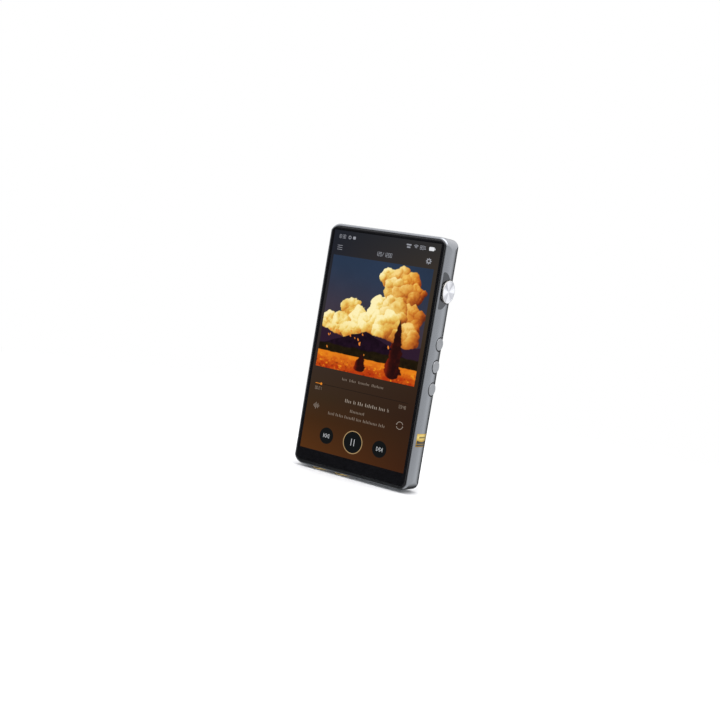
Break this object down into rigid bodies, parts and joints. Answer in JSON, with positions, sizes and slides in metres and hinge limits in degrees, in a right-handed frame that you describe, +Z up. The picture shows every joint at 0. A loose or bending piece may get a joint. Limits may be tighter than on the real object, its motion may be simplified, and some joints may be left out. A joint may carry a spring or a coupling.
{
  "type": "digital audio player",
  "caption": "Pocket digital audio player: touch screen, metal unibody, bent glass back, side volume knob, side keys, headphone jacks and a card slot.",
  "frame": {"origin": "middle of the width and of the thickness, in the plane through the tips of the jack rings", "axes": "+Z up the long side, -Y out of the screen, +X out of the side with the knob and the keys"},
  "size_m": [0.0698, 0.015, 0.1238],
  "materials": {
    "anodised_metal": "blue-grey anodised, satin",
    "button_metal": "blue-grey anodised, satin",
    "screen_glass": "black-masked cover glass, gloss",
    "screen_image": "lit display panel",
    "backlight": "white diffuser stack",
    "back_glass_dark": "dark smoky bent glass, gloss",
    "adhesive": "black foam tape",
    "polished_metal": "spun, polished face",
    "shaft_steel": "turned",
    "bushing_brass": "turned",
    "gold_plate": "gold plated, polished",
    "seal_rubber": "black silicone",
    "black_plastic": "moulded black",
    "sheet_steel": "pressed sheet",
    "board_green": "solder mask",
    "chip_black": "moulded package",
    "oscillator_metal": "small metal can",
    "ribbon_amber": "polyimide film",
    "battery_wrap": "foil pouch",
    "graphite": "graphite film",
    "label_foil": "gold and black printed foil"
  },
  "bodies": {
    "player": {"unibody_frame": "anodised_metal", "front_glass": "screen_glass", "display_panel": "screen_image", "backlight_unit": "backlight", "back_glass": "back_glass_dark", "display_adhesive": "adhesive", "back_adhesive": "adhesive", "battery_adhesive": "adhesive", "board_screws": "shaft_steel", "card_spring": "shaft_steel", "headphone_jack_ring": "gold_plate", "balanced_jack_ring": "gold_plate", "headphone_jack_contacts": "gold_plate", "balanced_jack_contacts": "gold_plate", "knob_seal": "seal_rubber", "button_gaskets": "seal_rubber", "encoder_body": "black_plastic", "headphone_jack_body": "black_plastic", "balanced_jack_body": "black_plastic", "usb_tongue": "black_plastic", "battery_connector": "black_plastic", "encoder_bracket": "sheet_steel", "key_bracket": "sheet_steel", "usb_shell": "sheet_steel", "card_socket": "sheet_steel", "processor_shield": "sheet_steel", "amplifier_shield": "sheet_steel", "key_switches": "sheet_steel", "main_board": "board_green", "audio_board": "board_green", "side_key_board": "board_green", "battery_board": "board_green", "processor_chip": "chip_black", "memory_chips": "chip_black", "power_chip": "chip_black", "converter_chips": "chip_black", "radio_module": "chip_black", "amplifier_chips": "chip_black", "output_relays": "chip_black", "clock_oscillators": "oscillator_metal", "audio_capacitors": "oscillator_metal", "display_ribbon": "ribbon_amber", "board_ribbon": "ribbon_amber", "antenna_sheet": "ribbon_amber", "battery_cell": "battery_wrap", "graphite_sheet": "graphite", "side_label": "label_foil"},
    "knob_plunger": {"knob_bushing": "bushing_brass"},
    "knob": {"volume_knob": "polished_metal", "knob_shaft": "shaft_steel", "shaft_clip": "shaft_steel"},
    "previous_key": {"previous_button": "button_metal"},
    "play_key": {"play_button": "button_metal"},
    "next_key": {"next_button": "button_metal"},
    "card_carrier": {"memory_card": "black_plastic", "card_slider": "black_plastic"}
  },
  "joints": [
    {"name": "knob_push", "type": "slide", "parent": "player", "child": "knob_plunger", "axis": [-1, 0, 0], "range_m": [0, 0.0003], "stiffness_N_per_m": 1200, "springref_m": -0.001},
    {"name": "knob_turn", "type": "hinge", "parent": "knob_plunger", "child": "knob", "pos_m": [0.034, 0, 0.0987], "axis": [1, 0, 0], "continuous": true},
    {"name": "previous_press", "type": "slide", "parent": "player", "child": "previous_key", "axis": [-1, 0, 0], "range_m": [0, 0.0003], "stiffness_N_per_m": 800, "springref_m": -0.0008},
    {"name": "play_press", "type": "slide", "parent": "player", "child": "play_key", "axis": [-1, 0, 0], "range_m": [0, 0.0003], "stiffness_N_per_m": 800, "springref_m": -0.0008},
    {"name": "next_press", "type": "slide", "parent": "player", "child": "next_key", "axis": [-1, 0, 0], "range_m": [0, 0.0003], "stiffness_N_per_m": 800, "springref_m": -0.0008},
    {"name": "card_slide", "type": "slide", "parent": "player", "child": "card_carrier", "axis": [1, 0, 0], "range_m": [-0.003, 0.0006]}
  ]
}
